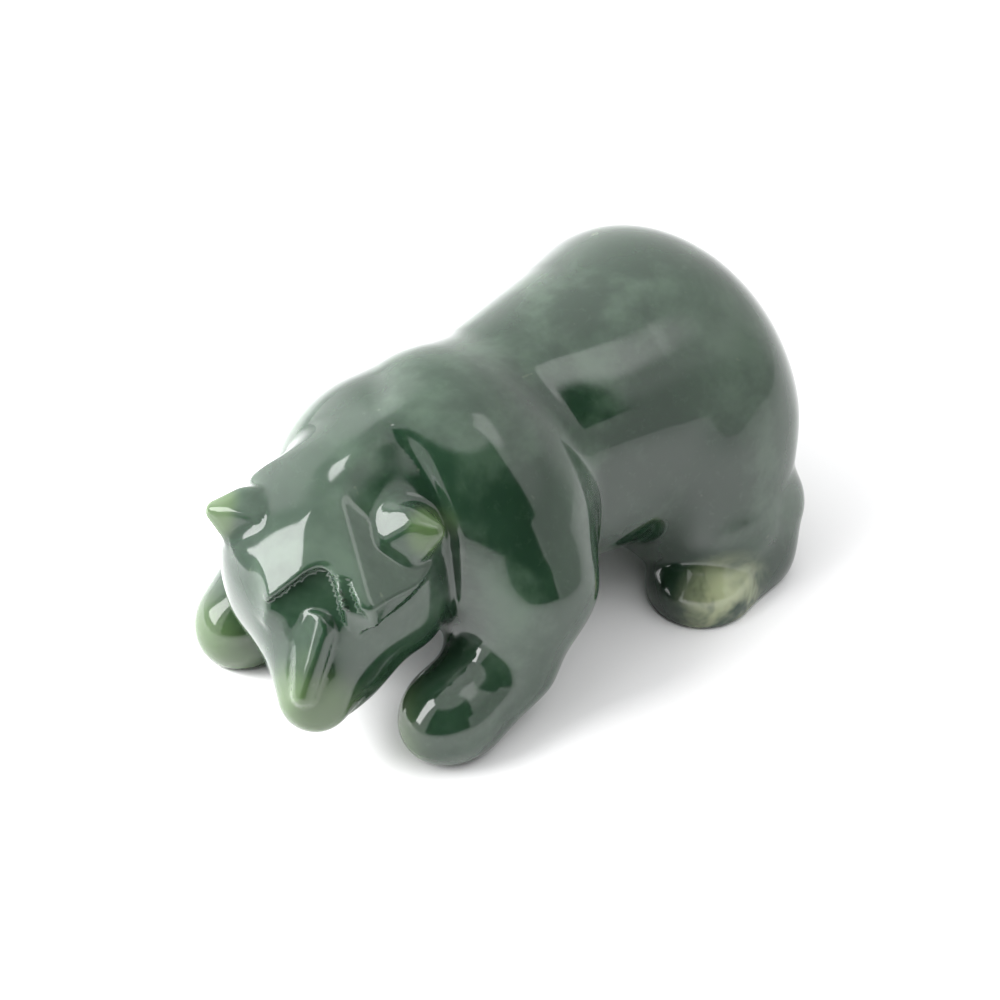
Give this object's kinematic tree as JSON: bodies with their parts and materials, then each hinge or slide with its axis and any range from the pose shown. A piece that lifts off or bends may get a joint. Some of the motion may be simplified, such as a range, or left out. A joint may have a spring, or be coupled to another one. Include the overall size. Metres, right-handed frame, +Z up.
{
  "type": "jade bear carving",
  "caption": "Small polished jade carving of a walking bear with its head lowered and turned to one side; a desk or shelf ornament that stands on its own feet.",
  "frame": {"origin": "centre of the bounding box's bottom, on the ground the feet rest on", "axes": "+Z up, -Y the way the body faces, +X the animal's left"},
  "size_m": [0.0416, 0.0664, 0.0319],
  "materials": {
    "jade": "polished, dark mottled green, slightly translucent at thin edges"
  },
  "bodies": {
    "root": {"bear": "jade"}
  },
  "joints": []
}
